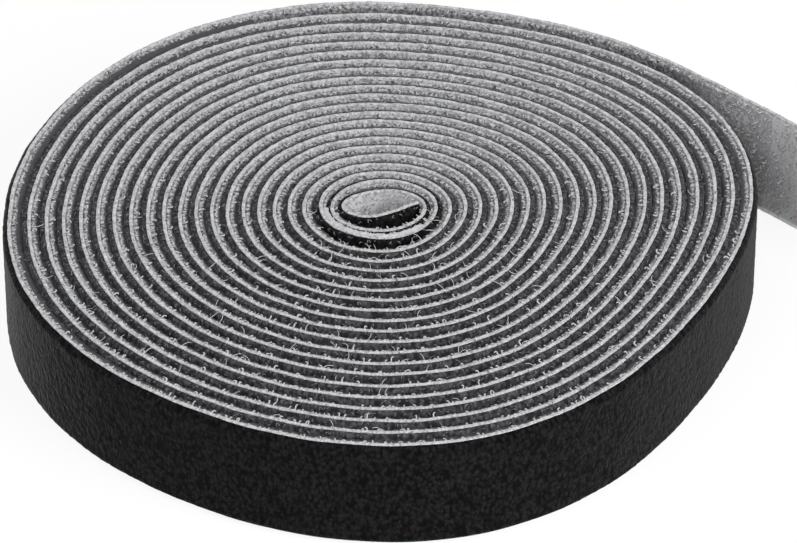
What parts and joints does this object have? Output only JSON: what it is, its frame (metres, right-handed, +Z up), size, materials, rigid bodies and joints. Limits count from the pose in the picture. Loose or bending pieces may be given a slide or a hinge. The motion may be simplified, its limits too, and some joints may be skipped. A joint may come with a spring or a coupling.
{
  "type": "hook and loop tape roll",
  "caption": "Flat coreless roll of back-to-back hook and loop tape lying on its side, with an open eye and a free end that peels off the outer lap and bends.",
  "frame": {"origin": "middle of the whole outline, roll and free end together, on the surface that the tape stands on", "axes": "+Z up along the roll's axis, across the tape; +X to the side that the free end leads to, along the longest side; +Y to the back"},
  "size_m": [0.1582, 0.1298, 0.02],
  "materials": {
    "hook_nylon": "grey nylon ground with upright monofilament hooks, pale along its cut edges",
    "loop_knit": "matt dark grey knit with a brushed loop pile"
  },
  "bodies": {
    "roll": {"hook_web_roll": "hook_nylon", "loop_web_roll": "loop_knit"},
    "lap_1": {"hook_web_lap_1": "hook_nylon", "loop_web_lap_1": "loop_knit"},
    "lap_2": {"hook_web_lap_2": "hook_nylon", "loop_web_lap_2": "loop_knit"},
    "tail_1": {"hook_web_tail_1": "hook_nylon", "loop_web_tail_1": "loop_knit"},
    "tail_2": {"hook_web_tail_2": "hook_nylon", "loop_web_tail_2": "loop_knit"},
    "tail_3": {"hook_web_tail_3": "hook_nylon", "loop_web_tail_3": "loop_knit"}
  },
  "joints": [
    {"name": "lap_peel_1", "type": "hinge", "parent": "roll", "child": "lap_1", "pos_m": [-0.03238, 0.06239, 0], "axis": [0, 0, 1], "range_deg": [0, 30]},
    {"name": "lap_peel_2", "type": "hinge", "parent": "lap_1", "child": "lap_2", "pos_m": [0.0007, 0.06169, 0], "axis": [0, 0, 1], "range_deg": [0, 30]},
    {"name": "tail_swing", "type": "hinge", "parent": "lap_2", "child": "tail_1", "pos_m": [0.03157, 0.04816, 0], "axis": [0, 0, 1], "range_deg": [-8, 75]},
    {"name": "tail_bend_1", "type": "hinge", "parent": "tail_1", "child": "tail_2", "pos_m": [0.04755, 0.03379, 0], "axis": [0, 0, 1], "range_deg": [-18, 70]},
    {"name": "tail_bend_2", "type": "hinge", "parent": "tail_2", "child": "tail_3", "pos_m": [0.06301, 0.01886, 0], "axis": [0, 0, 1], "range_deg": [-25, 70]}
  ]
}
